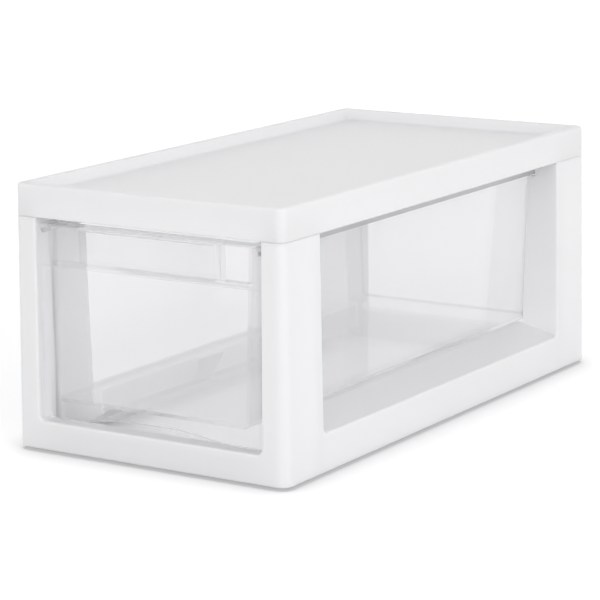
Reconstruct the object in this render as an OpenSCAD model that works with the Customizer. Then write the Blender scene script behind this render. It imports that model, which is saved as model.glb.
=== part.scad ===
// Stackable drawer box: an open-sided base moulding, a top cover that snaps into it and whose
// recess takes the next box, and one clear drawer that slides on ledges inside the base.
// Millimetres. X runs to the right, the drawer opens towards -Y, Z is up from the table.

/* [Overall] */
// Width over the top cover
cover_w = 184; // [160:1:240]
// Depth over the top cover
cover_d = 364; // [280:1:460]
// Height of the base moulding, from its outer lower edge to the seam
base_h = 136.7; // [125:0.1:180]
// Height of the cover, from the seam to the crest
cover_h = 19.3; // [17:0.1:26]
// How far the inner foot stands below the outer lower edge
foot_drop = 2; // [1:0.1:4]
// Outside corner radius at the seam
corner_r = 5; // [4.8:0.1:9]
// Lean of the outer walls, wider towards the table, in degrees
wall_draft = 0.69; // [0.3:0.01:1.2]

/* [Walls] */
// Wall of the base moulding
wall = 2.4; // [2:0.1:3]
// Wall of the cover
cover_wall = 2.2; // [1.8:0.1:2.6]
// Thickness of ledges, jambs and return flanges
flange_t = 2.2; // [1.6:0.1:3]
// Thickness of hidden ribs
rib_t = 1.6; // [1.2:0.1:2.4]
// Rounding along the seam and the outer lower edge
seam_r = 0.8; // [0.3:0.1:1.2]
// Rounding along the edges of the openings
open_edge_r = 1.4; // [0.6:0.1:2]
// Inside fillet of the corner posts
post_fillet = 4; // [2:0.1:7]

/* [Openings in the base] */
// Width of the front opening
front_open_w = 154.6; // [152:0.1:158]
// Width of the rear window
rear_open_w = 146; // [100:1:156]
// Length of each side window
side_open_l = 286.8; // [200:0.1:310]
// Height of the front and rear sills above the table
sill_z = 19; // [12:0.1:24]
// Height of the side sills above the table
side_sill_z = 24.6; // [20:0.1:28]
// Radius of the openings' lower corners
open_corner_r = 4; // [2.5:0.1:7]
// Depth of the jambs beside the drawer front
jamb_depth = 12; // [11.5:0.5:20]

/* [Runners] */
// Height of the ledges that carry the drawer
runner_z = 31.1; // [29:0.1:38]
// Width of the flat part of each ledge, under the drawer
runner_w = 7.5; // [5:0.1:14]
// Height at which the post flanges' lower edges start their slope to the foot
brace_z = 16.5; // [12:0.1:20]
// Number of gussets under each ledge
gussets = 1; // [1:1:5]
// Number of ribs under the front and rear sills
sill_ribs = 3; // [1:1:6]

/* [Drawer] */
// Width of the drawer tub at its top edge
tub_w = 140.4; // [120:0.1:142]
// Lean of the tub's walls, in degrees
tub_draft = 1.95; // [0.5:0.05:3]
// Wall of the tub
tub_wall = 2; // [1.6:0.1:2.6]
// Thickness of the tub's floor
floor_t = 2.2; // [1.6:0.1:3]
// Corner radius of the tub at its top edge
tub_corner_r = 10; // [8:0.1:16]
// Rounding between the tub's floor and walls, outside
tub_foot_r = 4; // [2.5:0.1:6]
// Distance from the drawer's top edge up to the seam
top_gap = 2.8; // [1.5:0.1:6]
// Reach of the rolled rim beyond the tub wall
rim_reach = 4.5; // [3.5:0.1:5.2]
// Height of the rolled rim
rim_h = 5.9; // [4:0.1:9]
// Thickness of the rim's flat top
rim_t = 1.8; // [1.4:0.1:2.6]
// Thickness of the rim's outer lip
rim_lip_t = 1.5; // [1.2:0.1:2.2]
// Rounding of the rim's outer edge
rim_edge_r = 1; // [0.4:0.1:1.2]

/* [Drawer front] */
// Width of the drawer front
front_w = 149.4; // [148.5:0.1:150.5]
// Thickness of the drawer front
front_t = 2.2; // [1.8:0.1:3]
// How far the handle band stands proud of the rest of the drawer front
band_step = 0.7; // [0.3:0.1:1.2]
// Gap between the drawer front's lower edge and the front sill
apron_gap = 2.2; // [0.8:0.1:4]
// Rounding of the drawer front's lower corners
front_low_r = 1.5; // [0.5:0.1:3]
// Rise of the arch in the drawer front's lower edge
arch_rise = 4.2; // [2:0.1:7]
// Length of the arch's level part
arch_flat = 28; // [16:1:40]
// Length of each curved end of the arch
arch_end = 46; // [30:1:50]
// Height of the handle band, from the shelf's underside to the top edge
band_h = 24.5; // [18:0.1:34]
// Thickness of the shelf under the handle band
shelf_t = 2.2; // [1.6:0.1:3]
// Width of the finger pocket
pocket_w = 92.6; // [70:0.1:110]
// Depth of the finger pocket
pocket_depth = 7.5; // [6.5:0.1:14]
// Height of the lip that the fingers pull on
pull_lip = 2.4; // [2.2:0.1:5]

/* [Top cover] */
// Width of the crest around the recess
crest_w = 5.5; // [4:0.1:8]
// Depth of the recess below the crest
recess_depth = 6.5; // [4:0.1:8]
// Run of the recess's sloping side
recess_run = 4.5; // [2:0.1:8]
// Corner radius at the foot of the recess's sloping side
recess_corner_r = 2.5; // [1:0.1:6]
// Fillet where the recess's side meets the panel
recess_fillet = 3; // [1:0.1:3.5]
// Rounding of the crest's outer edge
crest_r = 1.8; // [0.8:0.1:2.5]
// Thickness of the panel
panel_t = 2; // [1.6:0.1:2.6]
// Depth of the ribs under the panel
panel_rib_h = 3.5; // [2:0.1:6]
// Number of ribs across the panel
panel_ribs = 5; // [3:1:9]

/* [Joining and stops] */
// Height of the spigot that each post carries into the cover
spigot_h = 10; // [8:0.1:12]
// Depth of the spigot's thick root below the seam
spigot_root = 6; // [4:0.1:8]
// Bevel on the spigot's top edges
spigot_lead = 0.5; // [0.2:0.1:0.5]
// Width of each snap hook
hook_w = 10; // [6:0.5:16]
// Height of each snap hook
hook_h = 2.6; // [2:0.1:3.2]
// Height of the hooks above the seam
hook_rise = 2.8; // [2:0.1:4]
// Height of the blunt nose on each hook
hook_nose = 0.8; // [0.4:0.1:1.2]
// How far each hook reaches inwards
hook_reach = 1.7; // [1:0.1:2]
// How far the drawer slides out
travel = 258; // [150:1:280]
// Height of the two stop tabs above the drawer's rim
tab_h = 7; // [5:0.1:8]
// Width of each stop tab
tab_w = 20; // [10:1:30]
// Distance between the centres of the two stop tabs
tab_pitch = 72; // [40:1:90]
// Gap between the stop lugs and the drawer's rim
lug_gap = 2.5; // [1.5:0.1:3.5]

/* [Clearances] */
// Running gap under the drawer
run_gap = 0.3; // [0.2:0.05:0.6]
// Gap between the tub and the post flanges on each side
side_gap = 0.9; // [0.5:0.1:2]
// Gap around the rim where it passes the post flanges
rim_gap = 1.2; // [0.6:0.1:1.6]
// Gap between the rim and the anti-tip rails above it
kick_gap = 0.6; // [0.3:0.1:1.2]
// Gap behind the drawer's rear rim
rear_gap = 2.9; // [1.5:0.1:12]
// Gap left at the stops, with the drawer closed and with it fully out
stop_gap = 0.4; // [0.2:0.05:1]
// Gap between the spigots and the cover
fit_gap = 0.3; // [0.2:0.05:0.5]
// Gap between a foot and the recess that it stands in
stack_gap = 0.6; // [0.3:0.1:1.5]

/* [Hidden] */

$fn = 72;
white = [0.93, 0.93, 0.945];
clear = [0.86, 0.88, 0.92, 0.45];
sink = 1;            // how far a joined piece runs into what carries it
past = 4;            // how far a cut runs beyond the surface it opens
set_back = 0.3;      // small step that keeps one face clear of another's edge

// Levels above the table
skirt_z = foot_drop;
seam_z = skirt_z + base_h;
crest_z = seam_z + cover_h;
panel_top_z = crest_z - recess_depth;
panel_z = panel_top_z - panel_t;
tub_z = runner_z + run_gap;
rim_z = seam_z - top_gap;
rim_low_z = rim_z - rim_h;
apron_z = sill_z + apron_gap;
shelf_z = rim_z - band_h;
kick_z = rim_z + kick_gap;

// Half sizes in plan. The outer walls lean, so their half size depends on the height.
half_w = cover_w / 2;
half_d = cover_d / 2;
lean = tan(wall_draft);
function side_x(z) = half_w + lean * (seam_z - z);
function end_y(z) = half_d + lean * (seam_z - z);

// Tub: half width at a height, and the centres of its corner radii
tub_lean = tan(tub_draft);
tub_half = tub_w / 2;
function tub_x(z) = tub_half - tub_lean * (rim_z - z);
tub_cx = tub_half - tub_corner_r;
tub_rear_y = end_y(rim_z) - wall - rear_gap - rim_reach;
front_y = -end_y(rim_z);              // front face of the drawer, level with the frame's
plate_y = front_y + band_step;        // front face below the handle band
front_back_y = plate_y + front_t;
// The tub is swept past the drawer front and cut off behind it
tub_cy = (tub_rear_y - tub_corner_r - front_y + past) / 2;
tub_mid_y = (tub_rear_y - tub_corner_r + front_y - past) / 2;
pocket_back_y = front_y + pocket_depth;

// Ledge: where its slope meets the flat runner, and the runner's inner edge
slope_x = tub_x(runner_z) + side_gap;
inner_x = slope_x - runner_w;

// Recess, and the foot that drops into the recess of a box below. Both are swept around the
// same corner centres.
recess_cx = half_w - crest_w - recess_run - recess_corner_r;
recess_cy = half_d - crest_w - recess_run - recess_corner_r;
foot_r = recess_corner_r + recess_run - foot_drop * recess_run / recess_depth - stack_gap;
foot_top_z = skirt_z + flange_t;
foot_inner_x = recess_cx + foot_r - flange_t;
foot_inner_y = recess_cy + foot_r - flange_t;

// Stops: the tabs stand on the drawer's rear wall. They meet the cover's skirt when the drawer
// is closed, and the lugs that hang from the panel when it is fully out.
tab_front_y = tub_rear_y - tub_wall + set_back;
tab_rear_y = half_d - cover_wall - stop_gap;
lug_rear_y = tab_front_y - travel - stop_gap;
lug_z = rim_z + lug_gap;

// ---------------------------------------------------------------- shapes in two dimensions

// The corner to remove so that an outside edge at the origin gets a radius; the material
// lies towards +x and +y.
module edge_cut(r) {
    difference() {
        translate([-r, -r]) square(2 * r);
        translate([r, r]) circle(r);
    }
}

// A concave fillet in the corner between the x and y axes.
module fillet(r) {
    difference() {
        square(r);
        translate([r, r]) circle(r);
    }
}

// An opening that is open at the top: the origin is at the middle of the seam line.
module open_outline(w, drop, r) {
    translate([-w / 2, r - drop]) square([w, drop - r + 2 * past]);
    translate([r - w / 2, -drop]) square([w - 2 * r, drop]);
    for (side = [-1, 1]) translate([side * (w / 2 - r), r - drop]) circle(r);
}

// ---------------------------------------------------------------- shapes around a rectangle

// Sweeps a section around a rectangle with rounded corners. The section's x runs outwards
// from the line that joins the corner centres, which lie at (cx, cy); its y is the height.
module around(cx, cy) {
    for (turn = [0:3]) {
        a = turn % 2 == 0 ? cx : cy;
        b = turn % 2 == 0 ? cy : cx;
        rotate([0, 0, 90 * turn]) {
            translate([a, b, 0]) rotate([90, 0, 0]) linear_extrude(2 * b) children();
            translate([a, b, 0]) rotate_extrude(angle = 90) children();
        }
    }
}

// The same, filled in the middle between two heights.
module filled_around(cx, cy, low, high) {
    around(cx, cy) children();
    translate([-cx, -cy, low]) cube([2 * cx, 2 * cy, high - low]);
}

// Puts its children on an outer wall: x along the wall, y up the wall from the seam, z out
// of it. Turn 0 is the front, then right, rear and left.
module on_wall(turn) {
    reach = turn % 2 == 0 ? half_d : half_w;
    rotate([0, 0, 90 * turn]) translate([0, -reach, seam_z]) rotate([90 - wall_draft, 0, 0])
        children();
}

// Runs a section around the two sides and the sill of an opening. The section's x runs
// outwards from the corner centres and its y out of the wall.
module around_opening(w, drop, r) {
    for (side = [0, 1]) mirror([side, 0, 0]) {
        translate([w / 2 - r, 2 * past, 0]) rotate([90, 0, 0])
            linear_extrude(drop - r + 2 * past) children();
        translate([w / 2 - r, r - drop, 0]) rotate([0, 0, -90])
            rotate_extrude(angle = 90) children();
    }
    translate([0, r - drop, 0]) rotate([0, 0, -90]) translate([0, w / 2 - r, 0])
        rotate([90, 0, 0]) linear_extrude(w - 2 * r) children();
}

// Sill height as a distance down the leaning wall
function down_wall(z) = (seam_z - z) / cos(wall_draft);

// ---------------------------------------------------------------- base moulding

// Section of the outer wall, from the corner centre outwards
module base_wall_section() {
    low_r = corner_r + lean * base_h;
    difference() {
        polygon([[low_r - wall, skirt_z], [low_r, skirt_z],
                 [corner_r, seam_z], [corner_r - wall, seam_z]]);
        translate([corner_r, seam_z]) rotate(180) edge_cut(seam_r);
        translate([low_r, skirt_z]) rotate(90) edge_cut(seam_r);
    }
}

// Outer wall, cut by the four openings
module outer_wall() {
    difference() {
        around(half_w - corner_r, half_d - corner_r) base_wall_section();
        opening_cut(0, front_open_w, sill_z);
        opening_cut(1, side_open_l, side_sill_z);
        opening_cut(2, rear_open_w, sill_z);
        opening_cut(3, side_open_l, side_sill_z);
    }
}

module opening_cut(turn, w, sill) {
    on_wall(turn) translate([0, 0, -wall - 1]) linear_extrude(wall + 1 + past)
        open_outline(w, down_wall(sill), open_corner_r);
}

// Rounds the outer edge of one opening
module opening_rounding(turn, w, sill) {
    on_wall(turn) around_opening(w, down_wall(sill), open_corner_r)
        translate([open_corner_r, 0]) rotate(-90) edge_cut(open_edge_r);
}

// Lining of an opening's sill and, up to a height above the sill, of its sides
module liner(turn, w, sill, depth, rise) {
    drop = down_wall(sill);
    on_wall(turn) translate([0, 0, -depth]) linear_extrude(depth - wall / 2) intersection() {
        difference() {
            open_outline(w + 2 * flange_t, drop + flange_t, open_corner_r + flange_t);
            open_outline(w, drop, open_corner_r);
        }
        translate([-w, -2 * drop]) square([2 * w, drop + rise]);
    }
}

// Ledge along one side, from post to post: a slope that rises from inside the side sill, and
// the flat runner under the drawer's edge
module side_ledge() {
    start_x = side_x(side_sill_z) - wall / 2;
    start_z = side_sill_z - set_back;
    length = side_open_l + 2 * sink;
    translate([0, length / 2, 0]) rotate([90, 0, 0]) linear_extrude(length)
        polygon([[inner_x, runner_z], [slope_x, runner_z], [start_x, start_z],
                 [start_x, start_z - flange_t], [slope_x, runner_z - flange_t],
                 [inner_x, runner_z - flange_t]]);
}

// Gussets under the ledge, from the end of its slope down to the foot
module ledge_gussets() {
    top_x = side_x(side_sill_z) - wall / 2;
    low_x = side_x(foot_top_z) - wall / 2;
    drop = flange_t / 2;
    for (i = [1:gussets]) {
        y = side_open_l * (i / (gussets + 1) - 0.5);
        translate([0, y + rib_t / 2, 0]) rotate([90, 0, 0]) linear_extrude(rib_t)
            polygon([[slope_x, runner_z - drop], [top_x, side_sill_z - drop],
                     [low_x, foot_top_z - sink], [foot_inner_x + sink, foot_top_z - sink]]);
    }
}

// Inner wall and ribs under the straight part of the front or rear sill
module sill_channel(open_w) {
    out_y = end_y(sill_z) - wall / 2;
    span = open_w - 2 * open_corner_r;
    top_z = sill_z - flange_t / 2;
    translate([-span / 2, foot_inner_y, skirt_z + sink])
        cube([span, flange_t, top_z - skirt_z - sink]);
    for (i = [1:sill_ribs]) {
        x = span * (i / (sill_ribs + 1) - 0.5);
        translate([x - rib_t / 2, foot_inner_y + sink, foot_top_z - sink])
            cube([rib_t, out_y - foot_inner_y - sink, top_z - foot_top_z + sink]);
    }
}

// Foot: a plate that turns the outer wall's lower edge inwards, and the ridge under it that
// the box stands on
module foot() {
    out_r = corner_r + lean * base_h - wall / 2;
    ease = seam_r / 2;
    difference() {
        union() {
            filled_around(half_w - corner_r, half_d - corner_r, skirt_z, foot_top_z)
                translate([0, skirt_z]) square([out_r, flange_t]);
            filled_around(recess_cx, recess_cy, 0, foot_top_z)
                polygon([[0, 0], [foot_r - ease, 0], [foot_r, ease], [foot_r, foot_top_z],
                         [0, foot_top_z]]);
        }
        filled_around(recess_cx, recess_cy, -past, foot_top_z + past)
            translate([0, -past]) square([foot_r - flange_t, foot_top_z + 2 * past]);
    }
}

// Return flange of one post: it runs in from the side wall to the drawer's tub, leaves room
// for the tub's rim, carries the runner's end and slopes back to the foot below it
module post_flange() {
    notch_z = rim_low_z - rim_gap;
    notch_x = tub_half + rim_reach + rim_gap;
    root = wall / 2;
    low_z = foot_top_z - sink;
    y = side_open_l / 2;
    translate([0, y + flange_t, 0]) rotate([90, 0, 0]) linear_extrude(flange_t)
        polygon([[side_x(low_z) - root, low_z], [side_x(seam_z) - root, seam_z],
                 [notch_x, seam_z], [notch_x, notch_z],
                 [tub_x(notch_z) + side_gap, notch_z],
                 [slope_x, runner_z], [inner_x, runner_z], [inner_x, brace_z],
                 [foot_inner_x, low_z]]);
}

// Fillet between the post's flange and its side wall, inside the post

module post_fillet_strip() {
    on_wall(1) translate([side_open_l / 2 + flange_t, 0, -wall]) rotate([90, 0, 0])
        linear_extrude(down_wall(foot_top_z - sink)) mirror([0, 1]) fillet(post_fillet);
}

// Spigot on one post: an upright wall that rises inside the cover, on a thickened root
module spigot_section() {
    face = corner_r - cover_wall - fit_gap;
    inner = face - rib_t;
    top_z = seam_z + spigot_h;
    wall_r = corner_r - wall / 2;
    polygon([[inner, seam_z - spigot_root + wall_r - inner],
             [inner, top_z - spigot_lead], [inner + spigot_lead, top_z],
             [face - spigot_lead, top_z], [face, top_z - spigot_lead], [face, seam_z],
             [wall_r, seam_z], [wall_r, seam_z - spigot_root]]);
}

module spigots() {
    keep_x = front_open_w / 2 + flange_t;
    keep_y = side_open_l / 2 + flange_t;
    // at the rear, clear of the window's lining and its rounded edge
    rear_x = rear_open_w / 2 + 3 * flange_t;
    intersection() {
        around(half_w - corner_r, half_d - corner_r) spigot_section();
        for (side = [-1, 1]) {
            front_x = side > 0 ? keep_x : -half_w;
            back_x = side > 0 ? rear_x : -half_w;
            translate([front_x, -half_d, seam_z - base_h / 2])
                cube([half_w - keep_x, half_d - keep_y, base_h]);
            translate([back_x, keep_y, seam_z - base_h / 2])
                cube([half_w - rear_x, half_d - keep_y, base_h]);
        }
    }
}

// Puts its children at the four snap hooks, halfway along each post's side
module at_hooks() {
    y = (side_open_l / 2 + flange_t + half_d - corner_r) / 2;
    for (side = [0, 1], end = [0, 1]) mirror([side, 0, 0]) mirror([0, end, 0])
        translate([half_w, y, seam_z + hook_rise]) children();
}

module snap_window() {
    slack = 2 * fit_gap;
    translate([-corner_r - cover_wall, -hook_w / 2 - slack, -slack])
        cube([corner_r, hook_w + 2 * slack, hook_h + 2 * slack]);
}

// Everything below the seam
module base_body() {
    sill_depth = end_y(sill_z) - foot_inner_y;
    difference() {
        union() {
            outer_wall();
            liner(0, front_open_w, sill_z, jamb_depth, down_wall(sill_z));
            liner(2, rear_open_w, sill_z, sill_depth, open_corner_r);
            for (side = [0, 1]) mirror([side, 0, 0]) {
                side_ledge();
                ledge_gussets();
                for (end = [0, 1]) mirror([0, end, 0]) {
                    post_flange();
                    post_fillet_strip();
                }
            }
            sill_channel(rear_open_w);
            mirror([0, 1, 0]) sill_channel(front_open_w);
            foot();
        }
        translate([-cover_w, -cover_d, seam_z]) cube([2 * cover_w, 2 * cover_d, cover_h]);
    }
}

module base_frame() {
    color(white) difference() {
        union() {
            base_body();
            spigots();
        }
        opening_rounding(0, front_open_w, sill_z);
        opening_rounding(1, side_open_l, side_sill_z);
        opening_rounding(2, rear_open_w, sill_z);
        opening_rounding(3, side_open_l, side_sill_z);
        at_hooks() snap_window();
    }
}

// ---------------------------------------------------------------- top cover

// Outside of the cover, from the corner centre outwards
module cover_section() {
    top_r = corner_r - lean * cover_h;
    difference() {
        polygon([[0, seam_z], [corner_r, seam_z], [top_r, crest_z], [0, crest_z]]);
        translate([top_r, crest_z]) rotate(180) edge_cut(crest_r);
        translate([corner_r, seam_z]) rotate(90) edge_cut(seam_r);
    }
}

// Hollow under the cover
module cavity_section() {
    low_r = corner_r - cover_wall;
    high_r = low_r - lean * cover_h;
    polygon([[0, seam_z - past], [low_r, seam_z - past], [low_r, seam_z],
             [high_r, crest_z - cover_wall], [0, crest_z - cover_wall]]);
}

// Recess in the top: shell is 0 for the recess itself, and the panel's thickness for the
// pan that holds it
module recess_section(shell) {
    foot = recess_corner_r + shell;
    crest = foot + recess_run;
    low = panel_top_z - shell;
    climb = atan(recess_depth / recess_run);
    // fillet between the panel and the slope, tangent to both
    back = recess_fillet * tan(climb / 2);
    difference() {
        polygon([[0, low], [foot, low], [crest, low + recess_depth], [crest, crest_z + past],
                 [0, crest_z + past]]);
        difference() {
            polygon([[foot - back, low - sink], [foot + sink, low - sink],
                     [foot + back * cos(climb) + sink, low + back * sin(climb)],
                     [foot + back * cos(climb), low + back * sin(climb)],
                     [foot - back, low + recess_fillet / 2]]);
            translate([foot - back, low + recess_fillet]) circle(recess_fillet);
            translate([foot - back, low + recess_fillet / 2]) mirror([1, 0])
                square(recess_fillet);
        }
    }
}

module recess(shell) {
    filled_around(recess_cx, recess_cy, panel_top_z - shell, crest_z + past)
        recess_section(shell);
}

// Ribs, anti-tip rails and stop lugs under the panel
module underside() {
    inner_w = half_w - crest_w - recess_run;
    inner_d = half_d - crest_w - recess_run;
    kick_x = tub_half + rim_reach / 2;
    for (i = [1:panel_ribs]) {
        y = -inner_d + 2 * inner_d * i / (panel_ribs + 1);
        translate([-inner_w, y - rib_t / 2, panel_z - panel_rib_h])
            cube([2 * inner_w, rib_t, panel_rib_h + sink]);
    }
    for (side = [-1, 1]) {
        translate([side * kick_x - rib_t / 2, -side_open_l / 2, kick_z])
            cube([rib_t, side_open_l / 2 + inner_d, panel_z - kick_z + sink]);
        translate([side * tab_pitch / 2 - rib_t / 2, -inner_d, panel_z - panel_rib_h])
            cube([rib_t, 2 * inner_d, panel_rib_h + sink]);
        stop_lug(side * tab_pitch / 2);
    }
}

// One stop lug: a plate across the tab's path, with a gusset on its front side
module stop_lug(x) {
    lug_h = panel_z - lug_z;
    start = 2 * sink;
    translate([x - tab_w / 2 - flange_t, lug_rear_y - flange_t, lug_z])
        cube([tab_w + 2 * flange_t, flange_t, lug_h + sink]);
    translate([x + rib_t / 2, lug_rear_y - flange_t, lug_z]) rotate([90, 0, -90])
        linear_extrude(rib_t) polygon([[-sink, start], [0, start], [lug_h, lug_h],
                                       [lug_h, lug_h + sink], [-sink, lug_h + sink]]);
}

// Snap hook on the inside of the skirt: a wedge with its catch facing up
module hook() {
    root_x = cover_wall / 2;
    tip_x = cover_wall + hook_reach;
    rotate([90, 0, 0]) linear_extrude(hook_w, center = true)
        polygon([[-root_x, 0], [-cover_wall, 0], [-tip_x, hook_h - hook_nose], [-tip_x, hook_h],
                 [-root_x, hook_h]]);
}

module top_cover() {
    cx = half_w - corner_r;
    cy = half_d - corner_r;
    color(white) {
        difference() {
            filled_around(cx, cy, seam_z, crest_z) cover_section();
            recess(0);
            difference() {
                filled_around(cx, cy, seam_z - past, crest_z - cover_wall) cavity_section();
                recess(panel_t);
            }
        }
        underside();
        at_hooks() hook();
    }
}

// ---------------------------------------------------------------- drawer

// Section of the tub's outside (inset 0) or inside (inset its wall)
module tub_section(inset, low, high, foot) {
    low_r = tub_corner_r - tub_lean * (rim_z - low) - inset;
    high_r = tub_corner_r - tub_lean * (rim_z - high) - inset;
    difference() {
        polygon([[0, low], [low_r, low], [high_r, high], [0, high]]);
        translate([low_r, low]) rotate(90) edge_cut(foot);
    }
}

module rim_section() {
    wall_r = tub_corner_r - tub_wall / 2;
    lip_r = tub_corner_r + rim_reach;
    difference() {
        polygon([[wall_r, rim_z - rim_t], [lip_r - rim_lip_t, rim_z - rim_t],
                 [lip_r - rim_lip_t, rim_low_z], [lip_r, rim_low_z], [lip_r, rim_z],
                 [wall_r, rim_z]]);
        translate([lip_r, rim_z]) rotate(180) edge_cut(rim_edge_r);
    }
}

// What lies behind the drawer front's back face
module behind(y) {
    translate([-half_w, y, 0]) cube([cover_w, cover_d, crest_z]);
}

module tub() {
    translate([0, tub_mid_y, 0]) difference() {
        union() {
            filled_around(tub_cx, tub_cy, tub_z, rim_z)
                tub_section(0, tub_z, rim_z, tub_foot_r);
            around(tub_cx, tub_cy) rim_section();
        }
        filled_around(tub_cx, tub_cy, tub_z + floor_t, rim_z + past)
            tub_section(tub_wall, tub_z + floor_t, rim_z + past, tub_foot_r / 2);
    }
}

// Outline of the drawer front: rounded corners, and an arch in the lower edge whose ends
// follow a cosine curve
module front_outline() {
    side = front_w / 2;
    flat = arch_flat / 2;
    steps = 16;
    ease = [for (i = [0:steps]) [flat + arch_end * i / steps,
                                 apron_z + arch_rise * (1 + cos(180 * i / steps)) / 2]];
    right = concat(ease, [[side, apron_z], [side, rim_z]]);
    left = [for (i = [len(right) - 1:-1:0]) [-right[i][0], right[i][1]]];
    difference() {
        polygon(concat(right, left));
        for (turn = [0, 1]) mirror([turn, 0]) {
            translate([-side, apron_z]) edge_cut(front_low_r);
            translate([-side, rim_z]) rotate(-90) edge_cut(rim_edge_r);
        }
    }
}

// Finger pocket: shelf, two sides, back wall and the top flange that carries the pull lip
module pocket() {
    out_w = pocket_w + 2 * tub_wall;
    shelf_w = 2 * tub_x(shelf_z) - tub_wall;
    start_y = front_back_y - sink;
    depth = pocket_back_y + tub_wall - start_y;
    translate([-shelf_w / 2, start_y, shelf_z]) cube([shelf_w, depth, shelf_t]);
    translate([-out_w / 2, pocket_back_y, shelf_z]) cube([out_w, tub_wall, band_h]);
    for (side = [-1, 1]) {
        x = side * (pocket_w + tub_wall) / 2;
        translate([x - tub_wall / 2, start_y, shelf_z]) cube([tub_wall, depth, band_h]);
    }
    translate([tub_wall / 2 - tub_half, start_y, rim_z - rim_t])
        cube([tub_w - tub_wall, depth, rim_t]);
}

module drawer_front() {
    difference() {
        union() {
            translate([0, front_back_y, 0]) rotate([90, 0, 0]) linear_extrude(front_t)
                front_outline();
            translate([0, plate_y, 0]) rotate([90, 0, 0]) linear_extrude(band_step)
                intersection() {
                    front_outline();
                    translate([-front_w, shelf_z]) square([2 * front_w, 2 * band_h]);
                }
            pocket();
        }
        translate([-pocket_w / 2, front_y - past, shelf_z + shelf_t])
            cube([pocket_w, past + pocket_depth, band_h - shelf_t - pull_lip]);
    }
}

// Stop tabs on the rear wall's rim, each with a gusset behind it whose end is the closing stop
module stop_tabs() {
    start_y = tab_front_y + tub_wall;
    rim_end = rim_reach - rim_edge_r - set_back;
    reach = tab_rear_y - start_y;
    for (side = [-1, 1]) translate([side * tab_pitch / 2, 0, 0]) {
        translate([-tab_w / 2, tab_front_y, rim_z - sink]) cube([tab_w, tub_wall, tab_h + sink]);
        translate([-rib_t / 2, start_y, rim_z]) rotate([90, 0, 90]) linear_extrude(rib_t)
            polygon([[-sink, -sink], [rim_end, -sink], [reach, tab_h / 3],
                     [reach, tab_h - 2 * sink], [0, tab_h - sink], [-sink, tab_h - sink]]);
    }
}

module drawer() {
    color(clear) union() {
        intersection() {
            tub();
            behind(front_back_y);
        }
        drawer_front();
        stop_tabs();
    }
}

// ---------------------------------------------------------------- assembly

base_frame();
top_cover();
drawer();
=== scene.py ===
"""Stackable drawer box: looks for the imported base, cover and clear drawer. Metres."""

from math import cos, radians, sin

import bmesh
import bpy
from mathutils import Matrix, Vector


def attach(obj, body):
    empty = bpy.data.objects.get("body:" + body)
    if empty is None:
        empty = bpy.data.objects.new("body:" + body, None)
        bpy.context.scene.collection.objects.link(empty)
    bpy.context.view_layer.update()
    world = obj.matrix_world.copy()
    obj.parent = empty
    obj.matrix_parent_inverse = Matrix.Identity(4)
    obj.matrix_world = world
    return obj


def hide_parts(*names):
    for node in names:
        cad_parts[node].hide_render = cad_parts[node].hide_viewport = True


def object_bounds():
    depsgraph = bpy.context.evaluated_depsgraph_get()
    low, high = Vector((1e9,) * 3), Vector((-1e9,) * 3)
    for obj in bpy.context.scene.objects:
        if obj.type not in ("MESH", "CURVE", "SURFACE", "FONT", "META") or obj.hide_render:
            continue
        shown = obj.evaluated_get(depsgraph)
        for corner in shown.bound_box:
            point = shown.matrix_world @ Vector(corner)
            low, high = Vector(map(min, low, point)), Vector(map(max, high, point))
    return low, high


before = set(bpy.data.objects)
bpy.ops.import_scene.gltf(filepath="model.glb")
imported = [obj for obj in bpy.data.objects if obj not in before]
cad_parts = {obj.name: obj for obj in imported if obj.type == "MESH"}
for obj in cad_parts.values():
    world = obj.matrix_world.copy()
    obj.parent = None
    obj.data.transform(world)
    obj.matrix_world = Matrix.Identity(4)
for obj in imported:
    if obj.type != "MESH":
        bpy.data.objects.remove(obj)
cad_low, cad_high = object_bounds()

MM = 0.001
PLASTIC_IOR = 1.49

# White polypropylene: flow tones, satin gloss, and the light that its skin lets in
WHITE_TONES = ((0.933, 0.933, 0.952, 1), (0.948, 0.948, 0.966, 1))
WHITE_ROUGHNESS = (0.29, 0.40)
WHITE_GRAIN_DEPTH = 0.06 * MM
WHITE_GLOW = 0.5
WHITE_GLOW_DEPTH = 6 * MM

# Clear polypropylene: flow tones and the share of light that passes, for each finish
PLATE_TONES = ((0.976, 0.972, 0.980, 1), (0.986, 0.982, 0.990, 1))
PLATE_PASS = 0.94
WALL_TONES = ((0.932, 0.930, 0.938, 1), (0.942, 0.940, 0.948, 1))
WALL_PASS = 0.84
# The edge finish is greyer and lets less light pass than the walls: painted shade and reflection
# that stand in for the light that true edges bend
EDGE_PAINTED_LIGHT_TONES = ((0.82, 0.82, 0.835, 1), (0.86, 0.86, 0.875, 1))
# Painted shade: darker colour for edges that face down and for the lower part of the rim's lip
EDGE_PAINTED_SHADE_TONE = (0.54, 0.54, 0.555, 1)
EDGE_PASS = 0.38
CLEAR_ROUGHNESS = (0.04, 0.09)
CLEAR_GRAIN_DEPTH = 0.10 * MM
COAT_ROUGHNESS = 0.06
THIN_WALL_TINT = (0.985, 0.985, 0.988, 1)
# The body hardly bends light, and the coat gives the gloss: a true index draws black lines
CLEAR_IOR = 1.01

# Where the drawer's finish changes: behind the front plate, and beside and just under the rim's
# lip, where the edge finish and its painted shade start; the painted shade on the lip ends halfway
# up that lip
PLATE_BACK = -177.5 * MM
LIP_SIDE = 74.2 * MM
LIP_LOW = 129.5 * MM
LIP_PAINTED_SHADE_TOP = 132.5 * MM
# Limits for a face's normal: along X for the lip, along Z for an edge seen from below, which gets
# painted shade
FACES_SIDEWAYS = 0.9
FACES_DOWN = -0.6
MERGE_DISTANCE = 0.001 * MM

# A narrow edge is a flat strip below this width, with this share of its outline at corners
# sharper than 40 degrees. Faces are one strip where their normals' cosine passes SAME_PLANE.
EDGE_WIDTH = 3.2 * MM
SAME_PLANE = 0.9995
SHARP_CORNER = cos(radians(40))
SHARP_SHARE = 0.6
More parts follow.
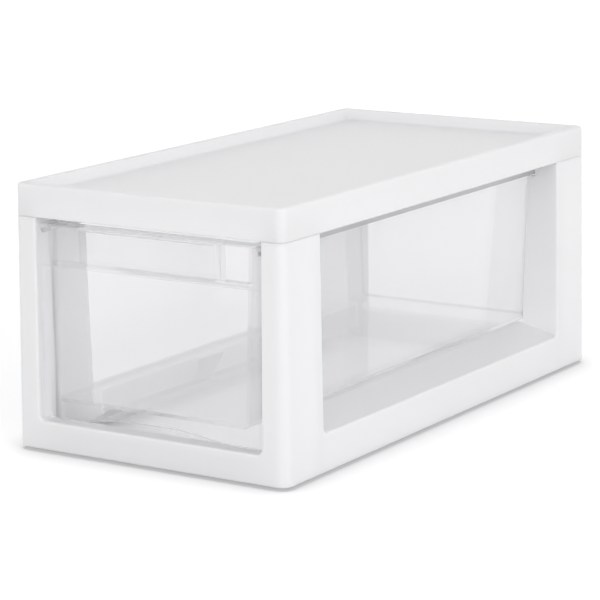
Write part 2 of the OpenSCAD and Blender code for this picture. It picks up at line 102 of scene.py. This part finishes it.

# Floor paper: a contact shadow is painted into its colour where things are closer than
# CONTACT_REACH, fully below one share of open air and not at all above the other
FLOOR_HALF = 8.0
CONTACT_REACH = 30 * MM
PAINTED_CONTACT_SHADOW_TONE = (0.55, 0.55, 0.56, 1)
PAPER_TONE = (0.94, 0.94, 0.94, 1)
SHADE_FULL = 0.35
SHADE_NONE = 0.95

# Glow of the paper as the eye sees it: it grows with the distance from the box, and the last
# four are the factor under the box (a painted shade), where under the box ends as a share of its
# half size, the factor deep in the gap under the walls (a painted light), and the factor in full
# contact shade (a painted shadow)
NEAR_GLOW = 0.36
FAR_GLOW = 0.60
NEAR_DISTANCE = 0.35
FAR_DISTANCE = 1.5
UNDER_BOX_GLOW = 0.55
UNDER_BOX_SHARE = 0.90
GAP_GLOW = 1.5
SHADE_GLOW = 0.75

# Studio light: room wall up to WALL_TOP and ceiling from CEILING_START, by the direction's Z
WALL_LEVEL = 1.22
WALL_TOP = 0.30
CEILING_LEVEL = 0.47
CEILING_START = 0.65
KEY_PLACE = (0.95, -0.75, 0.85)
KEY_AIM = (0.02, -0.05, 0.08)
KEY_SIZE = (1.6, 1.6)
KEY_WATTS = 5.4

# Camera, fitted to the corners of the box
CAMERA_PLACE = (0.846461, -1.347058, 0.399984)
CAMERA_AZIMUTH = radians(32.5561)
CAMERA_ELEVATION = radians(11.8778)
CAMERA_ROLL = radians(-0.5722)
CAMERA_LENS = 157.1214
SENSOR_WIDTH = 36.0


# ---------------------------------------------------------------- node building

def new_tree(name, inputs, outputs):
    """A shader node group with these sockets, and its two end nodes."""
    group = bpy.data.node_groups.new(name, "ShaderNodeTree")
    for label, kind, value in inputs:
        socket = group.interface.new_socket(label, in_out="INPUT", socket_type=kind)
        if value is not None:
            socket.default_value = value
    for label, kind in outputs:
        group.interface.new_socket(label, in_out="OUTPUT", socket_type=kind)
    return group, group.nodes.new("NodeGroupInput"), group.nodes.new("NodeGroupOutput")


def add(tree, kind, **settings):
    """A shader node of that kind with these settings."""
    node = tree.nodes.new("ShaderNode" + kind)
    for name, value in settings.items():
        setattr(node, name, value)
    return node


def feed(tree, socket, value):
    """Links a socket to value, or sets it where value is a plain number or colour."""
    if isinstance(value, bpy.types.NodeSocket):
        tree.links.new(value, socket)
    elif value is not None:
        socket.default_value = value


def preset(node, values):
    """Sets plain values on a node's own sockets."""
    for label, value in values.items():
        node.inputs[label].default_value = value


def maths(tree, operation, a, b=None):
    node = add(tree, "Math", operation=operation)
    for socket, value in zip(node.inputs, (a, b)):
        feed(tree, socket, value)
    return node.outputs[0]


def spread(tree, value, low, high, from_low=0.0, from_high=1.0):
    """Value carried over from one range to another."""
    node = add(tree, "MapRange")
    for socket, given in zip(node.inputs, (value, from_low, from_high, low, high)):
        feed(tree, socket, given)
    return node.outputs[0]


def noise(tree, place, scale, detail, roughness):
    node = add(tree, "TexNoise")
    feed(tree, node.inputs["Vector"], place)
    feed(tree, node.inputs["Scale"], scale)
    preset(node, {"Detail": detail, "Roughness": roughness})
    return node.outputs["Fac"]


def blend(tree, kind, share, first, second):
    """Mix of two numbers (kind FLOAT) or two colours (kind RGBA)."""
    node = add(tree, "Mix", data_type=kind)
    in_use = {socket.name: socket for socket in node.inputs if socket.enabled}
    for label, given in (("Factor", share), ("A", first), ("B", second)):
        feed(tree, in_use[label], given)
    return next(socket for socket in node.outputs if socket.enabled)


def object_place(tree):
    return add(tree, "TexCoord").outputs["Object"]


def along_axes(tree, vector):
    """The outputs X, Y and Z of a vector."""
    node = add(tree, "SeparateXYZ")
    feed(tree, node.inputs[0], vector)
    return node.outputs


def seen_directly(tree):
    """Mask: 1 for what the eye sees straight, in a reflection or through clear plastic."""
    rays = add(tree, "LightPath").outputs
    bounced = maths(tree, "MAXIMUM", rays["Is Glossy Ray"], rays["Is Transmission Ray"])
    return maths(tree, "MAXIMUM", rays["Is Camera Ray"], bounced)


def join_shaders(tree, kind, first, second, share=None):
    """Two shaders added (kind Add), or mixed by share (kind Mix)."""
    node = add(tree, kind + "Shader")
    shaders = [socket for socket in node.inputs if socket.type == "SHADER"]
    if share is not None:
        feed(tree, node.inputs[0], share)
    feed(tree, shaders[0], first.outputs[0])
    feed(tree, shaders[1], second.outputs[0])
    return node


def new_material(name):
    material = bpy.data.materials.new(name)
    material.use_nodes = True
    tree = material.node_tree
    tree.nodes.clear()
    return material, tree, add(tree, "OutputMaterial")


# ---------------------------------------------------------------- moulded plastic

def moulded_skin():
    """Skin of an injection moulding: spark-eroded grain, slow sink marks, and flow tone."""
    tree, start, end = new_tree(
        "moulded_skin",
        [
            ("Place", "NodeSocketVector", None),
            ("Grain per Metre", "NodeSocketFloat", 2200.0),
            ("Sink per Metre", "NodeSocketFloat", 22.0),
            ("Sink Share", "NodeSocketFloat", 0.5),
        ],
        [("Height", "NodeSocketFloat"), ("Tone", "NodeSocketFloat"), ("Patch", "NodeSocketFloat")],
    )
    place = start.outputs["Place"]
    grain = noise(tree, place, start.outputs["Grain per Metre"], detail=3.0, roughness=0.6)
    sink = noise(tree, place, start.outputs["Sink per Metre"], detail=1.0, roughness=0.4)
    height = blend(tree, "FLOAT", start.outputs["Sink Share"], grain, sink)
    feed(tree, end.inputs["Height"], height)
    feed(tree, end.inputs["Tone"], noise(tree, place, scale=9.0, detail=4.0, roughness=0.55))
    feed(tree, end.inputs["Patch"], noise(tree, place, scale=60.0, detail=3.0, roughness=0.5))
    return tree


SKIN = moulded_skin()


def skin(tree, place, values):
    """The moulded skin at that place, with its own values."""
    node = add(tree, "Group", node_tree=SKIN)
    feed(tree, node.inputs["Place"], place)
    preset(node, values)
    return node.outputs


def bump(tree, height, depth, strength):
    node = add(tree, "Bump")
    feed(tree, node.inputs["Height"], height)
    preset(node, {"Distance": depth, "Strength": strength})
    return node.outputs["Normal"]


def white_polypropylene():
    material, tree, out = new_material("white_polypropylene")
    face = skin(tree, object_place(tree), {"Sink Share": 0.35})
    shader = add(tree, "BsdfPrincipled")
    feed(tree, shader.inputs["Base Color"], blend(tree, "RGBA", face["Tone"], *WHITE_TONES))
    feed(tree, shader.inputs["Roughness"], spread(tree, face["Patch"], *WHITE_ROUGHNESS))
    grain = bump(tree, face["Height"], WHITE_GRAIN_DEPTH, strength=0.6)
    feed(tree, shader.inputs["Normal"], grain)
    preset(shader, {
        "IOR": PLASTIC_IOR,
        "Subsurface Weight": WHITE_GLOW,
        "Subsurface Radius": (1.0, 1.0, 1.0),
        "Subsurface Scale": WHITE_GLOW_DEPTH,
    })
    feed(tree, out.inputs["Surface"], shader.outputs[0])
    return material


def painted_shade_mask(tree, place):
    """Mask of painted shade: 1 where an edge faces down, and along the lower part of the rim's
    lip.
    """
    facing = along_axes(tree, add(tree, "NewGeometry").outputs["Normal"])["Z"]
    height = along_axes(tree, place)["Z"]
    above_low = maths(tree, "GREATER_THAN", height, LIP_LOW)
    below_top = maths(tree, "LESS_THAN", height, LIP_PAINTED_SHADE_TOP)
    on_lip = maths(tree, "MULTIPLY", above_low, below_top)
    return maths(tree, "MAXIMUM", maths(tree, "LESS_THAN", facing, FACES_DOWN), on_lip)


def clear_plastic(name, passing, tones, painted_shade_tone=None):
    """Clear polypropylene that lets this share of light pass, with painted shade where an edge
    faces down and on the lower part of the rim's lip.
    """
    material, tree, out = new_material(name)
    place = object_place(tree)
    face = skin(tree, place, {"Sink Share": 0.8, "Sink per Metre": 26.0})
    shader = add(tree, "BsdfPrincipled")
    colour = blend(tree, "RGBA", face["Tone"], *tones)
    if painted_shade_tone:
        # Painted shade: the colour darkens on edges that face down and on the lower part of the
        # rim's lip
        colour = blend(tree, "RGBA", painted_shade_mask(tree, place), colour, painted_shade_tone)
    feed(tree, shader.inputs["Base Color"], colour)
    feed(tree, shader.inputs["Roughness"], spread(tree, face["Patch"], *CLEAR_ROUGHNESS))
    grain = bump(tree, face["Height"], CLEAR_GRAIN_DEPTH, strength=0.5)
    feed(tree, shader.inputs["Normal"], grain)
    preset(shader, {
        "IOR": CLEAR_IOR,
        "Transmission Weight": passing,
        "Coat Weight": 1.0,
        "Coat IOR": PLASTIC_IOR,
        "Coat Roughness": COAT_ROUGHNESS,
    })
    # Light on its way to another surface goes straight through the thin walls
    through = add(tree, "BsdfTransparent")
    preset(through, {"Color": THIN_WALL_TINT})
    rays = add(tree, "LightPath").outputs
    on_its_way = maths(tree, "MAXIMUM", rays["Is Shadow Ray"], rays["Is Diffuse Ray"])
    finish = join_shaders(tree, "Mix", shader, through, on_its_way)
    feed(tree, out.inputs["Surface"], finish.outputs[0])
    return material


WHITE = white_polypropylene()
CLEAR_PLATE = clear_plastic("clear_front", PLATE_PASS, PLATE_TONES)
CLEAR_WALL = clear_plastic("clear_walls", WALL_PASS, WALL_TONES)
CLEAR_EDGE = clear_plastic("clear_edge", EDGE_PASS, EDGE_PAINTED_LIGHT_TONES, EDGE_PAINTED_SHADE_TONE)

for name, material in (("base_frame", WHITE), ("top_cover", WHITE), ("drawer", CLEAR_WALL)):
    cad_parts[name].material_slots[0].material = material


# ---------------------------------------------------------------- drawer with its edges

DRAWER_FINISHES = (CLEAR_WALL, CLEAR_PLATE, CLEAR_EDGE)
WALL, PLATE, EDGE = range(len(DRAWER_FINISHES))


def flat_patches(shape):
    """Groups of faces that lie in one plane and touch."""
    taken = set()
    for first in shape.faces:
        if first in taken:
            continue
        taken.add(first)
        patch = [first]
        # The patch grows while its faces are gone through
        for face in patch:
            for edge in face.edges:
                for other in edge.link_faces:
                    if other not in taken and other.normal.dot(face.normal) > SAME_PLANE:
                        taken.add(other)
                        patch.append(other)
        yield patch


def is_narrow_edge(patch):
    """True for a narrow flat strip between sharp corners, not for a strip of a rounding."""
    inside = set(patch)
    outline = 0.0
    sharp = 0.0
    for face in patch:
        for edge in face.edges:
            for other in edge.link_faces:
                if other in inside:
                    continue
                outline += edge.calc_length()
                if other.normal.dot(face.normal) < SHARP_CORNER:
                    sharp += edge.calc_length()
    # A long strip's width is twice its area over its outline
    double_area = 2.0 * sum(face.calc_area() for face in patch)
    return double_area < EDGE_WIDTH * outline and sharp > SHARP_SHARE * outline


def finish_by_place(face):
    """The finish of a face by where it lies: rim's lip (the edge finish, with its painted shade),
    front plate or wall.
    """
    place = face.calc_center_median()
    on_side = abs(place.x) > LIP_SIDE and abs(face.normal.x) > FACES_SIDEWAYS
    if on_side and place.z > LIP_LOW:
        return EDGE
    if place.y < PLATE_BACK:
        return PLATE
    return WALL


def drawer_moulding():
    """The drawer's own mesh, merged, with its narrow edge faces in the edge finish."""
    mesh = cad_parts["drawer"].data.copy()
    mesh.name = "clear_drawer"
    shape = bmesh.new()
    shape.from_mesh(mesh)
    bmesh.ops.remove_doubles(shape, verts=shape.verts, dist=MERGE_DISTANCE)
    for face in shape.faces:
        face.material_index = finish_by_place(face)
    for patch in flat_patches(shape):
        if is_narrow_edge(patch):
            for face in patch:
                face.material_index = EDGE
    # Clearing the slots resets the faces' finishes, so it comes before the shape is written
    mesh.materials.clear()
    for material in DRAWER_FINISHES:
        mesh.materials.append(material)
    shape.to_mesh(mesh)
    shape.free()
    piece = bpy.data.objects.new("clear_drawer", mesh)
    bpy.context.scene.collection.objects.link(piece)
    # Soft light passes the drawer, so that it doesn't darken the white surfaces around it
    piece.visible_diffuse = False
    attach(piece, "drawer")
    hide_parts("drawer")


# ---------------------------------------------------------------- studio

def paper_glow(tree, place, open_share, shade):
    """Glow of the paper: more further out, with painted shade under the box and in its contact
    shadow, and painted light deep in the gap.
    """
    away = add(tree, "VectorMath", operation="LENGTH")
    feed(tree, away.inputs[0], place)
    level = spread(tree, away.outputs["Value"], NEAR_GLOW, FAR_GLOW, NEAR_DISTANCE, FAR_DISTANCE)
    spot = along_axes(tree, place)
    across = maths(tree, "DIVIDE", maths(tree, "ABSOLUTE", spot["X"]), cad_high[0])
    along = maths(tree, "DIVIDE", maths(tree, "ABSOLUTE", spot["Y"]), cad_high[1])
    outwards = maths(tree, "MAXIMUM", across, along)
    # Painted shade: the glow is lower under the box
    under_box = spread(tree, outwards, UNDER_BOX_GLOW, 1.0, UNDER_BOX_SHARE, 1.0)
    level = maths(tree, "MULTIPLY", level, under_box)
    # Painted light: deepest in the gap under the walls the painted shade is lifted again, and the
    # glow is dimmed in the painted contact shadow
    gap = spread(tree, open_share, GAP_GLOW, 1.0, 0.0, SHADE_FULL)
    contact = maths(tree, "MULTIPLY", gap, spread(tree, shade, SHADE_GLOW, 1.0))
    return maths(tree, "MULTIPLY", level, contact)


def floor_paper():
    """White paper with a painted soft contact shadow in its colour, and a glow that lights nothing
    else.
    """
    material, tree, out = new_material("floor_paper")
    near = add(tree, "AmbientOcclusion", samples=16)
    preset(near, {"Distance": CONTACT_REACH})
    open_share = near.outputs["AO"]
    # Painted contact shadow: the paper's colour darkens where something stands close over it
    shade = spread(tree, open_share, 0.0, 1.0, SHADE_FULL, SHADE_NONE)
    paper = add(tree, "BsdfDiffuse")
    feed(tree, paper.inputs["Color"], blend(tree, "RGBA", shade, PAINTED_CONTACT_SHADOW_TONE, PAPER_TONE))
    glow = add(tree, "Emission")
    level = paper_glow(tree, object_place(tree), open_share, shade)
    feed(tree, glow.inputs["Strength"], level)
    # Soft light gets no glow, so the paper gives the box only what it reflects
    dark = add(tree, "Emission")
    preset(dark, {"Strength": 0.0})
    glow_seen = join_shaders(tree, "Mix", dark, glow, seen_directly(tree))
    surface = join_shaders(tree, "Add", paper, glow_seen)
    feed(tree, out.inputs["Surface"], surface.outputs[0])
    return material


def plain_floor():
    half = FLOOR_HALF
    corners = [(-half, -half, 0), (half, -half, 0), (half, half, 0), (-half, half, 0)]
    mesh = bpy.data.meshes.new("floor")
    mesh.from_pydata(corners, [], [(0, 1, 2, 3)])
    mesh.materials.append(floor_paper())
    floor = bpy.data.objects.new("floor", mesh)
    bpy.context.scene.collection.objects.link(floor)


def studio_world():
    """A white ground, and for light a bright room wall all round that dims to the ceiling."""
    world = bpy.data.worlds.new("studio")
    world.use_nodes = True
    bpy.context.scene.world = world
    tree = world.node_tree
    tree.nodes.clear()
    sky = add(tree, "Background")
    preset(sky, {"Color": (1, 1, 1, 1)})
    upwards = along_axes(tree, add(tree, "TexCoord").outputs["Generated"])["Z"]
    room = spread(tree, upwards, WALL_LEVEL, CEILING_LEVEL, WALL_TOP, CEILING_START)
    feed(tree, sky.inputs["Strength"], spread(tree, seen_directly(tree), room, 1.0))
    feed(tree, add(tree, "OutputWorld").inputs["Surface"], sky.outputs[0])


def softbox(name, place, aim, size, watts):
    data = bpy.data.lights.new(name, "AREA")
    data.shape = "RECTANGLE"
    data.size, data.size_y = size
    data.energy = watts
    lamp = bpy.data.objects.new(name, data)
    bpy.context.scene.collection.objects.link(lamp)
    lamp.location = place
    lamp.rotation_euler = (Vector(aim) - Vector(place)).to_track_quat("-Z", "Y").to_euler()


def photo_camera():
    flat = cos(CAMERA_ELEVATION)
    back = Vector((
        sin(CAMERA_AZIMUTH) * flat,
        -cos(CAMERA_AZIMUTH) * flat,
        sin(CAMERA_ELEVATION),
    ))
    level = Vector((cos(CAMERA_AZIMUTH), sin(CAMERA_AZIMUTH), 0))
    up = back.cross(level)
    right = cos(CAMERA_ROLL) * level + sin(CAMERA_ROLL) * up
    upright = -sin(CAMERA_ROLL) * level + cos(CAMERA_ROLL) * up
    data = bpy.data.cameras.new("camera")
    data.sensor_width = SENSOR_WIDTH
    data.lens = CAMERA_LENS
    data.clip_start, data.clip_end = 0.05, 60.0
    camera = bpy.data.objects.new("camera", data)
    bpy.context.scene.collection.objects.link(camera)
    turned = Matrix((right, upright, back)).transposed().to_4x4()
    turned.translation = Vector(CAMERA_PLACE)
    camera.matrix_world = turned
    bpy.context.scene.camera = camera


drawer_moulding()
plain_floor()
studio_world()
softbox("key", KEY_PLACE, KEY_AIM, KEY_SIZE, KEY_WATTS)
photo_camera()
bpy.context.scene.view_settings.view_transform = "Standard"
